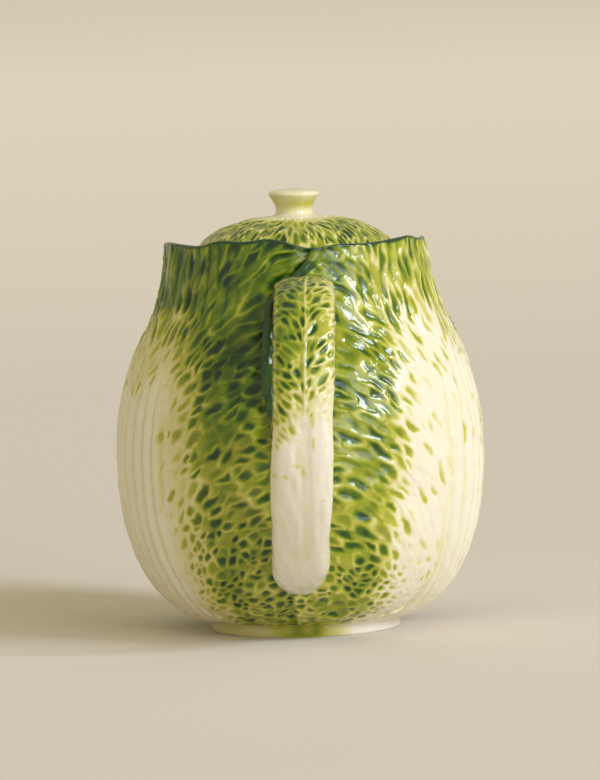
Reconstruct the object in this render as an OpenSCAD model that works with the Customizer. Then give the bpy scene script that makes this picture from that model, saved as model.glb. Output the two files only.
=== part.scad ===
// Lidded teapot in glazed earthenware, shaped as a head of leafy cabbage.
// A thrown body is wrapped by three overlapping leaves, whose tops make the wavy collar.
// Frame: millimetres, +Z up, origin at the centre of the foot's resting face.
// The handle points to -Y and the spout to +Y.

/* [Pot] */
// Greatest radius of the pot, over the leaves
belly_r = 75; // [70:1:80]
// Height of the greatest radius
belly_z = 72; // [66:1:78]
// Outer radius of the leafy collar
collar_r = 53.5; // [50:0.5:57]
// Mean height of the collar's wavy lip
lip_z = 160; // [156:1:166]
// Thickness of the thrown body's wall
body_wall = 3; // [2.5:0.1:4]
// Thickness of the body's floor
floor_t = 3.5; // [3:0.1:5]

/* [Foot] */
// Radius of the foot ring where it rests
foot_r = 38; // [34:1:42]
// Height of the foot ring
foot_h = 5; // [4:0.5:7]
// Width of the foot ring's resting face
foot_w = 3.2; // [2.5:0.1:5]

/* [Leaves] */
// Thickness of a leaf
leaf_t = 2.4; // [2:0.1:3]
// Angle from a leaf's midrib back to its free edge
blade_angle = 79; // [72:1:82]
// How far the free edge swings back towards the midrib at the lip, in degrees
edge_sweep = 20; // [0:1:22]
// How far it swings back at the foot, in degrees
foot_sweep = 8; // [0:1:10]
// Angle over which one leaf laps over the next
lap = 8; // [6:1:9]
// How far a leaf's free edge curls away from the leaf below
ruffle = 1.2; // [0.5:0.1:2]
// Swell of a leaf along its midrib
rib_rise = 0.8; // [0:0.1:1.5]

/* [Seat and lid] */
// Height of the ledge that the lid sits on
seat_z = 149; // [148:0.5:150]
// Radius of the recess round the ledge
seat_r = 47.5; // [46.5:0.5:48]
// Radius of the pot's mouth
mouth_r = 37.4; // [36:0.1:38.5]
// Radius of the lid's edge
lid_r = 44; // [43:0.5:45.5]
// Height of the dome's crown
crown_z = 169; // [167:0.5:170]
// Play between the flange and the mouth, on the radius
flange_play = 1; // [0.5:0.1:1.5]
// Wall of the flange
flange_wall = 3.2; // [2.5:0.1:4]
// Depth of the flange below the lid's seat
flange_drop = 11; // [8:0.5:14]
// Diameter of the vent hole in the lid
vent_d = 3.6; // [3:0.1:3.9]

/* [Knob] */
// Height of the knob's top
knob_top = 180; // [177:0.5:184]
// Greatest radius of the knob
knob_r = 10.2; // [8:0.1:12]
// Radius of the knob's neck
knob_neck_r = 7; // [5:0.1:8]

/* [Handle] */
// Width of the strap
handle_w = 24.3; // [20:0.1:28]
// Width of the strap where its tail meets the pot
handle_tail_w = 16; // [14:0.5:24]
// Thickness of the strap
handle_t = 13.5; // [10:0.5:15]
// Lean of the strap's top towards +X, in degrees
handle_lean = 2.3; // [0:0.1:4]

/* [Spout] */
// Half width of the spout's root
spout_root_w = 21; // [19:0.5:22]
// Half height of the spout's root
spout_root_h = 25; // [22:0.5:26]
// Radius of the spout's tip
spout_tip_r = 8.6; // [7.5:0.1:10]
// Wall of the spout
spout_wall = 3; // [2.5:0.1:3.5]
// Radius of the hole in the body behind the spout
spout_hole_r = 13; // [12:0.5:14]
// Diameter of each hole in the strainer
strainer_hole_d = 2.8; // [2:0.1:3.2]

/* [Hidden] */
$fn = 96;

CREAM = [0.93, 0.90, 0.78];
PALE_GREEN = [0.66, 0.74, 0.40];
LEAF_GREEN = [0.35, 0.55, 0.16];

seat_gap = 0.3;
vent_at = 21;

// ---- Curves ----

function smooth(x) = let (c = min(max(x, 0), 1)) c * c * (3 - 2 * c);

// Point on a cubic curve through four control points, and its direction
function bezier(p, t) = pow(1 - t, 3) * p[0] + 3 * pow(1 - t, 2) * t * p[1]
                        + 3 * (1 - t) * t * t * p[2] + pow(t, 3) * p[3];
function bezier_slope(p, t) = pow(1 - t, 2) * (p[1] - p[0]) + 2 * (1 - t) * t * (p[2] - p[1])
                              + t * t * (p[3] - p[2]);

// ---- The pot's outline ----

// Half of the pot in radius and height: from the foot to the belly, then on to the lip
to_belly = [[foot_r + 2, foot_h], [foot_r + 8, foot_h + 2], [belly_r, foot_h + 10], [belly_r, belly_z]];
to_lip = [[belly_r, belly_z], [belly_r, belly_z + 50], [collar_r, belly_z + 50], [collar_r, lip_z]];

// The outline runs from 0 at the foot, through 1 at the belly, to 2 at the lip
function outline(s) = s < 1 ? bezier(to_belly, s) : bezier(to_lip, s - 1);
function outline_slope(s) = s < 1 ? bezier_slope(to_belly, s) : bezier_slope(to_lip, s - 1);

// The outline moved in by a depth, square to itself
function inset(s, depth) = let (q = outline_slope(s)) outline(s) - depth / norm(q) * [q[1], -q[0]];

outline_steps = 28;
shares = [for (i = [0:outline_steps]) 2 * i / outline_steps];

// Radius of the leaves' outer face at a height
radius_at_height = [for (s = shares) [outline(s)[1], outline(s)[0]]];
function pot_radius(z) = lookup(z, radius_at_height);
function radius_inside(z) = pot_radius(z) - leaf_t - body_wall;

// ---- Body and foot ----

collar_z = seat_z + 4;
floor_z = foot_h + floor_t;
neck_z = seat_z - 5;
shoulder_z = neck_z - 7;

// Height of the spout's root, of the hole in the body there and of the strainer over it
root_z = 60;

// The body takes every second step of the outline
module body_shell() {
    outside = [for (i = [0:2:outline_steps]) let (q = inset(shares[i], leaf_t))
               if (q[1] < collar_z - 1) q];
    inside = [for (i = [outline_steps:-2:0]) let (q = inset(shares[i], leaf_t + body_wall))
              if (q[1] < shoulder_z - 1 && q[1] > floor_z + 2) q];
    bottom = [[0, foot_h], [foot_r + 0.6, foot_h]];
    seat = [[collar_r - leaf_t, collar_z], [seat_r, collar_z], [seat_r, seat_z],
            [mouth_r, seat_z], [mouth_r, neck_z], [seat_r + 2, shoulder_z]];
    color(CREAM)
        difference() {
            rotate_extrude()
                polygon(concat(bottom, outside, seat, inside, [[foot_r - 2, floor_z], [0, floor_z]]));
            translate([0, 0, root_z])
                rotate([-90, 0, 0])
                    cylinder(r = spout_hole_r, h = belly_r + 10);
        }
}

// A shallow perforated dome, luted inside the body over the spout's hole and bulging inwards
strainer_ball_r = 26;
strainer_t = 2.4;
strainer_rim_r = spout_hole_r + 2.5;
strainer_pitch = 4.7;

module strainer() {
    spread = asin(strainer_rim_r / strainer_ball_r);
    rim_y = sqrt(pow(radius_inside(root_z), 2) - pow(strainer_rim_r, 2)) + 0.6;
    centre_y = rim_y + strainer_ball_r * cos(spread);
    arc_steps = 8;
    function arc(r) = [for (i = [0:arc_steps]) r * [sin(spread * i / arc_steps), cos(spread * i / arc_steps)]];
    inner = arc(strainer_ball_r - strainer_t);
    color(CREAM)
        translate([0, centre_y, root_z])
            rotate([90, 0, 0])
                difference() {
                    rotate_extrude()
                        polygon(concat(arc(strainer_ball_r), [for (i = [arc_steps:-1:0]) inner[i]]));
                    for (ring = [0:2])
                        for (k = [0:max(0, 6 * ring - 1)])
                            rotate(60 * k / max(1, ring))
                                translate([ring * strainer_pitch, 0, 0])
                                    cylinder(d = strainer_hole_d, h = 2 * strainer_ball_r);
                }
}

module foot_ring() {
    color(PALE_GREEN)
        rotate_extrude()
            polygon([[foot_r - foot_w - 1, 1], [foot_r - foot_w, 0], [foot_r, 0], [foot_r + 0.7, 0.8],
                     [foot_r + 0.6, foot_h], [foot_r - foot_w - 2, foot_h]]);
}

// ---- Leaves ----

// Directions are angles round from -Y towards +X. The three midribs:
midribs = [66, 180, 293];
// Height of the lip at some directions; it is straight between them
lip_heights = [[-180, 155.5], [-150, 155], [-130, 155.6], [-108, 157.5], [-90, 159.5], [-73, 160.5],
               [-46, 159.6], [-36, 162.4], [-23, 161.5], [-11, 163.2], [7, 158], [18, 159.9],
               [34, 159.5], [62, 161.4], [70, 159.4], [90, 159.5], [108, 157], [150, 155], [180, 155.5]];
// The lip's waves fade out at this height
wave_from_z = 128;
midrib_half = 10;
leaf_columns = 28;
leaf_rows = 22;

function wrapped(a) = a > 180 ? a - 360 : a;
function lip_wave(a, z) = (lookup(wrapped(a), lip_heights) - lip_z)
                          * pow(max(0, (z - wave_from_z) / (lip_z - wave_from_z)), 2);

// A leaf's free edge, and the free edge of the next leaf, which laps over it
function free_edge(leaf, s) = midribs[leaf] - blade_angle + edge_sweep * smooth((s - 1.72) / 0.3)
                              + foot_sweep * smooth((1.45 - s) / 0.7);
function next_edge(leaf, s) = leaf < 2 ? free_edge(leaf + 1, s) : free_edge(0, s) + 360;

// The curl of the free edge, which dies away at the foot
function curl(leaf, a, s) =
    ruffle * smooth(s / 0.6) * smooth(1 - (a - free_edge(leaf, s)) / lap);

// Depths of a leaf's outer and inner faces below the outline
function outer_depth(leaf, a, s) =
    0.55 * leaf_t * smooth(1 - (next_edge(leaf, s) - a) / lap)
    - curl(leaf, a, s)
    - rib_rise * exp(-pow((a - midribs[leaf]) / midrib_half, 2));
function inner_depth(leaf, a, s) =
    leaf_t * (0.5 + 0.5 * smooth((a - free_edge(leaf, s)) / lap - 1))
    - 0.6 * curl(leaf, a, s);

function leaf_angle(leaf, i, s) =
    let (from = free_edge(leaf, s), to = next_edge(leaf, s) + lap - 1)
    from + (to - from) * (1 - cos(180 * i / leaf_columns)) / 2;
function leaf_point(a, s, depth) =
    let (q = inset(s, depth)) [q[0] * sin(a), -q[0] * cos(a), q[1] + lip_wave(a, q[1])];

// The back leaf is cut away behind the spout's root, over these cells of its grid
function spout_window(leaf, i, j) =
    let (middle = leaf_point(leaf_angle(leaf, i + 0.5, 1), 2 * (j + 0.5) / leaf_rows, 0))
    leaf == 1 && norm([middle[0] / spout_root_w, (middle[2] - root_z) / spout_root_h]) < 0.8;

// A sheet with an outer and an inner face, closed along every edge of the cells it keeps
module leaf(leaf) {
    columns = leaf_columns + 1;
    face_points = columns * (leaf_rows + 1);
    faces_of_depth = [for (side = [0, 1]) for (j = [0:leaf_rows]) for (i = [0:leaf_columns])
        let (s = 2 * j / leaf_rows, a = leaf_angle(leaf, i, s))
        leaf_point(a, s, side == 0 ? outer_depth(leaf, a, s) : inner_depth(leaf, a, s))];
    function at(i, j, side) = side * face_points + j * columns + i;
    function kept(i, j) = i >= 0 && j >= 0 && i < leaf_columns && j < leaf_rows
                          && !spout_window(leaf, i, j);
    function wall(a, b) = [a, b, b + face_points, a + face_points];
    sheets = [for (j = [0:leaf_rows - 1]) for (i = [0:leaf_columns - 1]) if (kept(i, j))
        each [[at(i, j, 0), at(i, j + 1, 0), at(i + 1, j + 1, 0), at(i + 1, j, 0)],
              [at(i, j, 1), at(i + 1, j, 1), at(i + 1, j + 1, 1), at(i, j + 1, 1)]]];
    edges = [for (j = [0:leaf_rows - 1]) for (i = [0:leaf_columns - 1]) if (kept(i, j))
        each [if (!kept(i, j - 1)) wall(at(i, j, 0), at(i + 1, j, 0)),
              if (!kept(i + 1, j)) wall(at(i + 1, j, 0), at(i + 1, j + 1, 0)),
              if (!kept(i, j + 1)) wall(at(i + 1, j + 1, 0), at(i, j + 1, 0)),
              if (!kept(i - 1, j)) wall(at(i, j + 1, 0), at(i, j, 0))]];
    polyhedron(faces_of_depth, concat(sheets, edges), convexity = 6);
}

module leaf_right() { color(LEAF_GREEN) leaf(0); }
module leaf_back() { color(LEAF_GREEN) leaf(1); }
module leaf_left() { color(LEAF_GREEN) leaf(2); }

// ---- Handle and spout ----

sweep_sides = 20;
root_depth = 1.2;

// A rounded oblong, from the middle of one side round
function oblong(w, h, k) =
    let (a = 360 * k / sweep_sides, c = cos(a), s = sin(a))
    [w * sign(c) * pow(abs(c), 0.7), h * sign(s) * pow(abs(s), 0.7)];

// A point of a ring square to a curve that lies in the YZ plane
function ring_point(place, slope, q) =
    let (d = slope / norm(slope)) [q[0], place[0] - d[1] * q[1], place[1] + d[0] * q[1]];

// The same point moved along Y until it lies just inside the leaves' outer face
function on_pot(q, side) =
    [q[0], side * sqrt(pow(pot_radius(q[2]) - root_depth, 2) - q[0] * q[0]), q[2]];

handle_arch = [[-54, 133], [-84, 154], [-116, 138], [-118, 102]];
handle_arm = [[-118, 102], [-120, 68], [-92, 40], [-63, 28]];
handle_rings = 26;
lean_about_z = 70;
tail_from = 1.5;

function handle_ring(j) =
    let (t = 2 * j / handle_rings,
         curve = t < 1 ? handle_arch : handle_arm,
         u = t < 1 ? t : t - 1)
    [for (k = [0:sweep_sides - 1])
        let (w = handle_w - (handle_w - handle_tail_w) * smooth((t - tail_from) / (2 - tail_from)),
             q = ring_point(bezier(curve, u), bezier_slope(curve, u), oblong(w / 2, handle_t / 2, k)),
             r = [q[0] + (q[2] - lean_about_z) * tan(handle_lean), q[1], q[2]])
        j == 0 || j == handle_rings ? on_pot(r, -1) : r];

module handle() {
    n = sweep_sides;
    last = handle_rings * n;
    middles = [on_pot([(handle_arch[0][1] - lean_about_z) * tan(handle_lean), 0, handle_arch[0][1]], -1),
               on_pot([(handle_arm[3][1] - lean_about_z) * tan(handle_lean), 0, handle_arm[3][1]], -1)];
    points = concat([for (j = [0:handle_rings]) each handle_ring(j)], middles);
    sides = [for (j = [0:handle_rings - 1]) for (k = [0:n - 1])
        [j * n + k, (j + 1) * n + k, (j + 1) * n + (k + 1) % n, j * n + (k + 1) % n]];
    ends = [for (k = [0:n - 1])
        each [[k, (k + 1) % n, last + n], [last + (k + 1) % n, last + k, last + n + 1]]];
    color(CREAM) polyhedron(points, concat(sides, ends), convexity = 4);
}

spout_line = [[70, root_z], [102, 64], [93, 122], [124, 149]];
spout_rings = 14;

// A ring of the spout's outer face, or of its bore when thinner by its wall
function spout_ring(j, thinner) =
    let (t = j / spout_rings,
         swell = pow(1 - t, 1.6),
         w = spout_tip_r + (spout_root_w - spout_tip_r) * swell - thinner,
         h = spout_tip_r + (spout_root_h - spout_tip_r) * swell - thinner)
    [for (k = [0:sweep_sides - 1])
        let (a = 360 * k / sweep_sides,
             q = ring_point(bezier(spout_line, t), bezier_slope(spout_line, t), [w * cos(a), h * sin(a)]))
        j == 0 ? on_pot(q, 1) : q];

module spout() {
    n = sweep_sides;
    bore = n * (spout_rings + 1);
    rings = [for (thinner = [0, spout_wall]) for (j = [0:spout_rings]) each spout_ring(j, thinner)];
    sides = [for (j = [0:spout_rings - 1]) for (k = [0:n - 1])
        let (a = j * n + k, b = j * n + (k + 1) % n)
        each [[a, b, b + n, a + n], [bore + a, bore + a + n, bore + b + n, bore + b]]];
    ends = [for (k = [0:n - 1])
        let (m = (k + 1) % n, tip = spout_rings * n)
        each [[k, bore + k, bore + m, m], [tip + k, tip + m, bore + tip + m, bore + tip + k]]];
    color(CREAM) polyhedron(rings, concat(sides, ends), convexity = 6);
}

// ---- Lid ----

lid_z = seat_z + seat_gap;
flange_r = mouth_r - flange_play;
hollow_r = flange_r - flange_wall;
edge_z = lid_z + 1.8;
dome_wall = 4;
dome_steps = 14;

// The dome's outside, from its edge to the middle of its crown, and the hollow under it
dome_curve = [[lid_r, edge_z], [lid_r - 3, edge_z + 3], [lid_r - 5, crown_z + 0.3], [0, crown_z + 0.3]];
hollow_curve = [[hollow_r, lid_z], [hollow_r - 1, crown_z - dome_wall - 4],
                [hollow_r - 12, crown_z - dome_wall], [0, crown_z - dome_wall]];

module lid_dome() {
    outside = [for (i = [0:dome_steps]) let (q = bezier(dome_curve, i / dome_steps))
               [q[0], min(q[1], crown_z)]];
    inside = [for (i = [dome_steps:-1:0]) bezier(hollow_curve, i / dome_steps)];
    color(PALE_GREEN)
        difference() {
            rotate_extrude()
                polygon(concat(outside, inside, [[lid_r - 0.8, lid_z], [lid_r, lid_z + 0.8]]));
            translate([0, vent_at, lid_z]) cylinder(d = vent_d, h = crown_z);
        }
}

module lid_flange() {
    color(CREAM)
        translate([0, 0, lid_z - flange_drop])
            rotate_extrude()
                polygon([[hollow_r, 0], [flange_r - 0.8, 0], [flange_r, 0.8],
                         [flange_r, flange_drop], [hollow_r, flange_drop]]);
}

module lid_knob() {
    stem = [[knob_r - 0.6, crown_z], [knob_neck_r - 0.4, crown_z + 0.8],
            [knob_neck_r, crown_z + 6], [knob_r, knob_top - 1.8]];
    cap = [[knob_r, knob_top - 1.8], [knob_r + 0.1, knob_top - 0.6],
           [knob_r - 1.4, knob_top], [0, knob_top]];
    steps = 8;
    color(CREAM)
        rotate_extrude()
            polygon(concat([[0, crown_z]], [for (i = [0:steps]) bezier(stem, i / steps)],
                           [for (i = [1:steps]) bezier(cap, i / steps)]));
}

body_shell();
foot_ring();
leaf_left();
leaf_right();
leaf_back();
handle();
spout();
strainer();
lid_dome();
lid_flange();
lid_knob();
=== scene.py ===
"""Looks of the lidded cabbage teapot.

Everything is worked out in millimetres and turned to metres as a mesh is made. Directions round the pot are angles
from -Y towards +X, in degrees. The shapes repeat the CAD's curves; what is added is the modelled relief of the leaves
and the glaze that pools in it.
"""
import itertools
import math
from typing import NamedTuple

import bpy
import numpy as np
from mathutils import Matrix, Vector


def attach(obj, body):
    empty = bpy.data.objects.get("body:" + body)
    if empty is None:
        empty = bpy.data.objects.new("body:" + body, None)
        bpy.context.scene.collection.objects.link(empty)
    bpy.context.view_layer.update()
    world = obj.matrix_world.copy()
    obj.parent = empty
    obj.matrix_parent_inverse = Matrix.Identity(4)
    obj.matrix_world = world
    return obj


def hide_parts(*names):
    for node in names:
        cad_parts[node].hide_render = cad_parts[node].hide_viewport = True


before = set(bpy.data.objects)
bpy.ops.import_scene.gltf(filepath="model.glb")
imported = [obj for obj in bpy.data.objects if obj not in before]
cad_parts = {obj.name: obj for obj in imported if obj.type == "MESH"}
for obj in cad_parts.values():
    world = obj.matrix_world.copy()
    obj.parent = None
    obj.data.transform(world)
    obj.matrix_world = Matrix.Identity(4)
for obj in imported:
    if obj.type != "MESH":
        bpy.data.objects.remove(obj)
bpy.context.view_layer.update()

MM = 0.001

# ---- The CAD's sizes, in millimetres and degrees ----

BELLY_R, BELLY_Z = 75.0, 72.0
COLLAR_R, LIP_Z = 53.5, 160.0
FOOT_R, FOOT_H, FOOT_W = 38.0, 5.0, 3.2
# A leaf's thickness, its blade's reach from the midrib, the sweep of its free edge near the lip and near the foot,
# its lap under the next leaf, and how far its free edge curls out and its midrib stands proud
LEAF_T, BLADE, EDGE_SWEEP, FOOT_SWEEP, LAP, RUFFLE, RIB_RISE = 2.4, 79, 20, 8, 8, 1.2, 0.8
# The right, back and left leaves' midribs
RIGHT, BACK, LEFT = range(3)
MIDRIBS = (66, 180, 293)
# The lip's height in directions round the pot. Its waves die away downwards, to nothing at WAVE_FROM.
LIP = ((-180, 155.5), (-150, 155), (-130, 155.6), (-108, 157.5), (-90, 159.5), (-73, 160.5), (-46, 159.6),
       (-36, 162.4), (-23, 161.5), (-11, 163.2), (7, 158), (18, 159.9), (34, 159.5), (62, 161.4), (70, 159.4),
       (90, 159.5), (108, 157), (150, 155), (180, 155.5))
WAVE_FROM = 128.0
LID_R, LID_Z, CROWN_Z, HOLLOW_R, DOME_WALL = 44.0, 149.3, 169.0, 33.2, 4.0
VENT_R, VENT_Y = 1.8, 21.0
KNOB_TOP, KNOB_R, NECK_R = 180.0, 10.2, 7.0
# The handle leans sideways about the height LEAN_Z. It runs along two Bezier curves of (y, z).
HANDLE_W, HANDLE_T, LEAN, LEAN_Z = 24.3, 13.5, 2.3, 70.0
ARCH = ((-54, 133), (-84, 154), (-116, 138), (-118, 102))
ARM = ((-118, 102), (-120, 68), (-92, 40), (-63, 28))
# The spout's root has half-sizes SPOUT_W and SPOUT_H, at the height ROOT_Z, and its tip is round
ROOT_Z, SPOUT_W, SPOUT_H, SPOUT_TIP, SPOUT_WALL = 60.0, 21.0, 25.0, 8.6, 3.0
SPOUT_LINE = ((70, 60), (102, 64), (93, 122), (124, 149))
# How far the handle and the spout go into the leaves
ROOT_DEPTH = 2.0


# ---- Arithmetic ----

def smooth(x):
    """0 up to 0 and 1 from 1 on, with an easy slope between."""
    c = np.clip(x, 0, 1)
    return c * c * (3 - 2 * c)


def past(x, start, over):
    """0 until x rises to start, and 1 when it is that much over it."""
    return smooth((x - start) / over)


def below(x, start, under):
    """0 until x falls to start, and 1 when it is that much under it."""
    return smooth((start - x) / under)


def bell(x, width):
    """1 at 0, dying away on both sides."""
    return np.exp(-(x / width) ** 2)


def blend(a, b, share):
    return a + (b - a) * share


def wrapped(degrees):
    return (degrees + 180) % 360 - 180


def bezier(p, t):
    p, t = np.asarray(p, float), np.asarray(t, float)[..., None]
    return (1 - t) ** 3 * p[0] + 3 * (1 - t) ** 2 * t * p[1] + 3 * (1 - t) * t * t * p[2] + t ** 3 * p[3]


def bezier_slope(p, t):
    p, t = np.asarray(p, float), np.asarray(t, float)[..., None]
    return (1 - t) ** 2 * (p[1] - p[0]) + 2 * (1 - t) * t * (p[2] - p[1]) + t * t * (p[3] - p[2])


def lengths(points):
    """How far along a line of points each one lies."""
    return np.concatenate([[0], np.cumsum(np.linalg.norm(np.diff(points, axis=0), axis=1))])


SIDE = 32
LATTICE = np.random.default_rng(5).random((SIDE, SIDE, SIDE)) * 2 - 1
# The step through the lattice from one seed's noise to the next
SEED_STEP = np.array([3.7, 9.1, 5.3])


def noise(points, size, seed=0, squash=(1, 1, 1)):
    """Smooth noise in space from -1 to 1, in lumps about size across, drawn out along axes squashed below 1."""
    q = np.asarray(points) * np.array(squash) / size + SEED_STEP * (seed + 1)
    i = np.floor(q).astype(int)
    f = q - i
    f = f * f * (3 - 2 * f)
    total = 0
    for corner in itertools.product((0, 1), repeat=3):
        weight = 1
        for axis, far in enumerate(corner):
            weight = weight * (f[..., axis] if far else 1 - f[..., axis])
        x, y, z = ((i[..., axis] + far) % SIDE for axis, far in enumerate(corner))
        total = total + weight * LATTICE[x, y, z]
    return total


# ---- The pot's outline, from 0 at the foot through 1 at the belly to 2 at the lip ----

TO_BELLY = ((FOOT_R + 2, FOOT_H), (FOOT_R + 8, FOOT_H + 2), (BELLY_R, FOOT_H + 10), (BELLY_R, BELLY_Z))
TO_LIP = ((BELLY_R, BELLY_Z), (BELLY_R, BELLY_Z + 50), (COLLAR_R, BELLY_Z + 50), (COLLAR_R, LIP_Z))


def outline(s):
    return np.where((s < 1)[..., None], bezier(TO_BELLY, s), bezier(TO_LIP, s - 1))


def inset(s, depth):
    """The outline moved inwards, square to itself."""
    q = np.where((s < 1)[..., None], bezier_slope(TO_BELLY, s), bezier_slope(TO_LIP, s - 1))
    q = q / np.linalg.norm(q, axis=-1, keepdims=True)
    return outline(s) - depth[..., None] * np.stack([q[..., 1], -q[..., 0]], -1)


# The outline as a table of places, their points (radius, height) and their distance along it from the foot
SHARES = np.linspace(0, 2, 1601)
PROFILE = outline(SHARES)
CLIMB = lengths(PROFILE)
FULL_CLIMB = CLIMB[-1]


def pot_radius(z):
    return np.interp(z, PROFILE[:, 1], PROFILE[:, 0])


def inside_pot(grid):
    """How far inside the pot's outline each point of a grid is."""
    return pot_radius(grid[..., 2]) - np.hypot(grid[..., 0], grid[..., 1])


def root_face(grid):
    """The distance from the XZ plane at which the handle and the spout end in the leaves."""
    return np.sqrt(np.maximum((pot_radius(grid[..., 2]) - ROOT_DEPTH) ** 2 - grid[..., 0] ** 2, 1))


LIP_AT, LIP_HEIGHT = np.transpose(LIP)
# The lip's height is a mean over these turns, which rounds its corners
LIP_BLUR = (-4, -2, 0, 2, 4)


def lip_wave(a, z):
    height = np.mean([np.interp(wrapped(a + turn), LIP_AT, LIP_HEIGHT) for turn in LIP_BLUR], axis=0)
    return (height - LIP_Z) * np.maximum(0, (z - WAVE_FROM) / (LIP_Z - WAVE_FROM)) ** 2


# ---- Nets of cells: glaze pools in the pits, and the ridges between them stand pale ----

class Cells:
    """Seeds thrown over a sheet, each with a direction and two half-lengths, kept where the others leave room.

    u runs round the piece, and metric(v) millimetres make one unit of it; v is in millimetres.
    shape(u, v) gives the direction of the long axis in degrees from u, and the two half-lengths.
    """
    ROOM = 1.72  # the least distance between two seeds, in half-lengths
    REACH = 2.4  # the distance at which a seed still matters, in the longest half-lengths
    SWING = 8  # how far a seed turns off its direction, in degrees
    SIZES = (0.75, 1.3)  # the seeds' shares of their half-lengths

    def __init__(self, rng, u_range, v_range, metric, shape, tries, wrap=None):
        u = rng.uniform(*u_range, tries)
        v = rng.uniform(*v_range, tries)
        turn, long, short = shape(u, v)
        turn = np.radians(turn + rng.uniform(-self.SWING, self.SWING, tries))
        size = rng.uniform(*self.SIZES, tries)
        self.wrap = wrap
        seeds = np.stack([u, v, metric(v), np.cos(turn), np.sin(turn), long * size, short * size], 1)
        self.table = np.zeros_like(seeds)
        count = 0
        for seed in seeds:
            if not count or self._apart(seed[0], seed[1], self.table[:count]).min() > self.ROOM ** 2:
                self.table[count] = seed
                count += 1
        self.table = self.table[:count]
        self.chance = rng.random(count)
        self.chance2 = rng.random(count)
        self.reach = self.REACH * self.table[:, 5].max()

    def _apart(self, u, v, seeds):
        """The squared distances of points from seeds, in the seeds' half-lengths."""
        seed_u, seed_v, scale, cos, sin, long, short = seeds.T
        du = u - seed_u
        if self.wrap:
            du = du - self.wrap * np.round(du / self.wrap)
        du, dv = du * scale, v - seed_v
        return ((du * cos + dv * sin) / long) ** 2 + ((dv * cos - du * sin) / short) ** 2

    def look(self, u, v):
        """For each point: how far it is from its cell's rim (0 on it) and from its middle, how whole the ridge
        there is, and two values of chance that belong to the cell and blend across its rim."""
        rim, middle = np.zeros(u.shape), np.zeros(u.shape)
        own, other = np.zeros(u.shape, int), np.zeros(u.shape, int)
        seed_v = self.table[:, 1]
        for j in range(len(u)):
            near = np.nonzero((seed_v > v[j].min() - self.reach) & (seed_v < v[j].max() + self.reach))[0]
            apart = self._apart(u[j][:, None], v[j][:, None], self.table[near])
            two = np.argpartition(apart, 1, axis=1)[:, :2]
            far = np.sqrt(np.take_along_axis(apart, two, axis=1))
            rim[j], middle[j] = far[:, 1] - far[:, 0], far[:, 0]
            own[j], other[j] = near[two[:, 0]], near[two[:, 1]]
        # A scattered but repeatable value for each pair of neighbours
        whole = (np.sin(np.minimum(own, other) * 12.9898 + np.maximum(own, other) * 78.233) * 43758.5453) % 1.0
        share = 0.5 + 0.5 * smooth(rim / 0.6)
        chance, chance2 = (blend(value[other], value[own], share) for value in (self.chance, self.chance2))
        return rim, middle, whole, chance, chance2

    def pools(self, u, v, at, green, seed, ground, crests, deep=0.38, tint=0.15):
        """Glaze that thins out as green falls from 1 to 0, until it's left in the middles of a few pits.

        ground is the glaze between the pits, deep how much darker it pools in them, crests how much paler it is on
        the ridges, and tint how much a thin wash of it stains the cream. Returns how deep each point lies in its
        pit, a value of chance for the pit, the pigment and the coolness.
        """
        rim, middle, whole, chance, chance2 = self.look(u, v)
        bowl = smooth(rim / 1.8)
        core = past(rim, 0.1, 1.2) * below(middle, 1.35, 0.95)
        sound = past(whole, 0.22, 0.5)
        pit = 1 - (1 - bowl) * blend(0.35, 1.0, sound)
        crest = bell(rim, 0.5) * sound
        patches = 0.16 * noise(at, 7, seed) + 0.08 * noise(at, 2.4, seed + 1)
        spread = 1.25 * green + 0.5 * core * (0.5 + 1.0 * chance) + patches - 0.10 * crest
        cover = past(spread, 0.58, 0.62)
        strong = past(green, 0.35, 0.6)
        dark = core * past(chance2, 0.05, 0.7)
        tone = blend(0.32, ground, strong) + deep * dark * blend(0.45, 1.0, strong) - crests * crest
        wash = 0.03 + tint * past(green, 0.04, 0.4)
        cool = past(chance, 0.72, 0.2) * core * strong * 0.35
        return pit, chance2, blend(wash, tone, cover), cool


# ---- Making meshes ----

# The steps in a millimetre to which points are rounded when they are joined
STEPS_PER_MM = 2000


def add(name, data):
    """A new object in the scene."""
    made = bpy.data.objects.new(name, data)
    bpy.context.scene.collection.objects.link(made)
    return made


def make_mesh(name, points, faces, fields, slot, body="pot"):
    """A closed skin in metres from points in millimetres, in the glaze of its slot, with its fields from 0 to 1."""
    points = np.asarray(points, float)
    _, first, same = np.unique(np.round(points * STEPS_PER_MM).astype(np.int64), axis=0, return_index=True,
                               return_inverse=True)
    same = same.reshape(-1)
    tidy = []
    for face in faces:
        ids = [same[k] for k in face]
        ids = [k for n, k in enumerate(ids) if k != ids[n - 1]]
        if len(ids) > 2:
            tidy.append(ids)
    used = np.unique(np.concatenate([np.asarray(f) for f in tidy]))
    new = np.full(len(first), -1)
    new[used] = np.arange(len(used))
    source = first[used]
    at = points[source]
    # A sample of the faces shows whether they are wound inside out
    volume = sum(np.dot(at[new[f[0]]], np.cross(at[new[f[k]]], at[new[f[k + 1]]]))
                 for f in tidy[::7] for k in range(1, len(f) - 1))
    way = -1 if volume < 0 else 1
    mesh = bpy.data.meshes.new(name)
    mesh.from_pydata((at * MM).tolist(), [], [[int(new[k]) for k in f[::way]] for f in tidy])
    mesh.update()
    mesh.polygons.foreach_set("use_smooth", np.ones(len(mesh.polygons), bool))
    for field, values in fields.items():
        layer = mesh.attributes.new(field, "FLOAT", "POINT")
        layer.data.foreach_set("value", np.clip(values.reshape(-1)[source], 0, 1))
    mesh.materials.append(GLAZES[slot])
    piece = add(name, mesh)
    nodes = [name.replace("_skin", "")]
    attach(piece, body)
    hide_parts(*nodes)


def glaze_fields(pigments, cools):
    """The two fields that a glaze reads, each from the parts of a mesh in the order of its points."""
    return {name: np.concatenate([np.reshape(part, -1) for part in parts])
            for name, parts in (("pigment", pigments), ("cool", cools))}


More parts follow.
